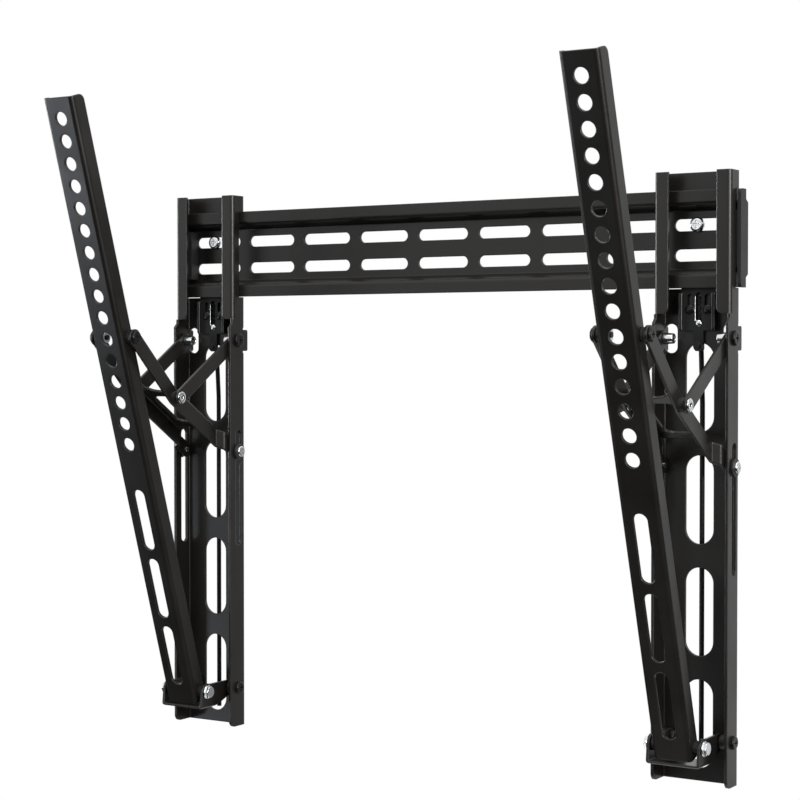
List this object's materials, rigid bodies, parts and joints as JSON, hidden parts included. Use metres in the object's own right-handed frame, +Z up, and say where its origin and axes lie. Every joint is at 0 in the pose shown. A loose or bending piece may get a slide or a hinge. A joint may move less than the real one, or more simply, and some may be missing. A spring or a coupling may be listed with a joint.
{
  "type": "tilting flat-screen wall bracket",
  "caption": "Tilting flat-screen wall bracket: a slotted wall rail carries hooked channels, each with a scissor linkage, sprung latch and perforated screen arm.",
  "frame": {"origin": "centre of the rail's back face, on the wall", "axes": "+Y into the wall, +X along the rail to the viewer's right, +Z up"},
  "size_m": [0.461, 0.1844, 0.4604],
  "materials": {
    "black_steel": "satin powder coat",
    "black_oxide": "semi-gloss",
    "zinc": "bright zinc plate",
    "black_plastic": "matte"
  },
  "bodies": {
    "rail": {"wall_rail": "black_steel", "rail_cap_left": "black_plastic", "rail_cap_right": "black_plastic", "wall_screw_left": "zinc", "wall_screw_right": "zinc"},
    "left_channel": {"left_channel": "black_steel", "left_latch_guides": "zinc", "left_latch_spring": "zinc", "left_fixed_screws": "black_oxide", "left_fixed_nuts": "zinc", "left_foot_pivots": "black_oxide", "left_foot_pivot_nuts": "zinc", "left_foot_pivot_spacers": "black_plastic"},
    "left_latch": {"left_latch_plate": "black_steel", "left_release_rod": "black_oxide"},
    "left_short_links": {"left_short_link_a": "black_steel", "left_short_link_b": "black_steel"},
    "left_long_link": {"left_long_link": "black_steel", "left_mid_rivets": "zinc", "left_mid_spacers": "black_plastic", "left_slider_bushes": "black_plastic", "left_slider_screws": "zinc", "left_arm_screws": "black_oxide", "left_arm_spacers": "black_plastic", "left_arm_nuts": "zinc"},
    "left_arm": {"left_tv_arm": "black_steel", "left_foot_bolts": "zinc", "left_foot_nuts": "zinc", "left_foot_spacers": "black_plastic"},
    "left_foot": {"left_foot_link": "black_steel"},
    "right_channel": {"right_channel": "black_steel", "right_latch_guides": "zinc", "right_latch_spring": "zinc", "right_fixed_screws": "black_oxide", "right_fixed_nuts": "zinc", "right_foot_pivots": "black_oxide", "right_foot_pivot_nuts": "zinc", "right_foot_pivot_spacers": "black_plastic"},
    "right_latch": {"right_latch_plate": "black_steel", "right_release_rod": "black_oxide"},
    "right_short_links": {"right_short_link_a": "black_steel", "right_short_link_b": "black_steel"},
    "right_long_link": {"right_long_link": "black_steel", "right_mid_rivets": "zinc", "right_mid_spacers": "black_plastic", "right_slider_bushes": "black_plastic", "right_slider_screws": "zinc", "right_arm_screws": "black_oxide", "right_arm_spacers": "black_plastic", "right_arm_nuts": "zinc"},
    "right_arm": {"right_tv_arm": "black_steel", "right_foot_bolts": "zinc", "right_foot_nuts": "zinc", "right_foot_spacers": "black_plastic"},
    "right_foot": {"right_foot_link": "black_steel"}
  },
  "joints": [
    {"name": "left_slide", "type": "slide", "parent": "rail", "child": "left_channel", "axis": [1, 0, 0], "range_m": [-0.0005, 0.1]},
    {"name": "left_tilt", "type": "hinge", "parent": "left_channel", "child": "left_short_links", "pos_m": [-0.2, -0.0135, -0.065], "axis": [-1, 0, 0], "range_deg": [-40.5, 4.5]},
    {"name": "left_mid_pivot", "type": "hinge", "parent": "left_short_links", "child": "left_long_link", "pos_m": [-0.2, -0.07928, -0.10691], "axis": [1, 0, 0], "range_deg": [-81.02, 9.02]},
    {"name": "left_arm_pivot", "type": "hinge", "parent": "left_long_link", "child": "left_arm", "pos_m": [-0.2, -0.12351, -0.06345], "axis": [1, 0, 0], "range_deg": [-3.02, 27.02]},
    {"name": "left_foot_pivot", "type": "hinge", "parent": "left_arm", "child": "left_foot", "pos_m": [-0.2, -0.0415, -0.328], "axis": [1, 0, 0], "range_deg": [-9.07, 81.49]},
    {"name": "left_latch_pull", "type": "slide", "parent": "left_channel", "child": "left_latch", "axis": [0, 0, -1], "range_m": [0, 0.008], "stiffness_N_per_m": 400, "springref_m": -0.006, "deforming": ["left_latch_spring"]},
    {"name": "right_slide", "type": "slide", "parent": "rail", "child": "right_channel", "axis": [1, 0, 0], "range_m": [-0.1, 0.0005]},
    {"name": "right_tilt", "type": "hinge", "parent": "right_channel", "child": "right_short_links", "pos_m": [0.2, -0.0135, -0.065], "axis": [-1, 0, 0], "range_deg": [-40.5, 4.5]},
    {"name": "right_mid_pivot", "type": "hinge", "parent": "right_short_links", "child": "right_long_link", "pos_m": [0.2, -0.07928, -0.10691], "axis": [1, 0, 0], "range_deg": [-81.02, 9.02]},
    {"name": "right_arm_pivot", "type": "hinge", "parent": "right_long_link", "child": "right_arm", "pos_m": [0.2, -0.12351, -0.06345], "axis": [1, 0, 0], "range_deg": [-3.02, 27.02]},
    {"name": "right_foot_pivot", "type": "hinge", "parent": "right_arm", "child": "right_foot", "pos_m": [0.2, -0.0415, -0.328], "axis": [1, 0, 0], "range_deg": [-9.07, 81.49]},
    {"name": "right_latch_pull", "type": "slide", "parent": "right_channel", "child": "right_latch", "axis": [0, 0, -1], "range_m": [0, 0.008], "stiffness_N_per_m": 400, "springref_m": -0.006, "deforming": ["right_latch_spring"]}
  ],
  "couplings": [
    {"joint": "left_mid_pivot", "follows": "left_tilt", "ratio": 2},
    {"joint": "left_arm_pivot", "follows": "left_tilt", "ratio": -0.66672},
    {"joint": "left_foot_pivot", "follows": "left_tilt", "ratio": -2.0116},
    {"joint": "right_mid_pivot", "follows": "right_tilt", "ratio": 2},
    {"joint": "right_arm_pivot", "follows": "right_tilt", "ratio": -0.66672},
    {"joint": "right_foot_pivot", "follows": "right_tilt", "ratio": -2.0116}
  ]
}
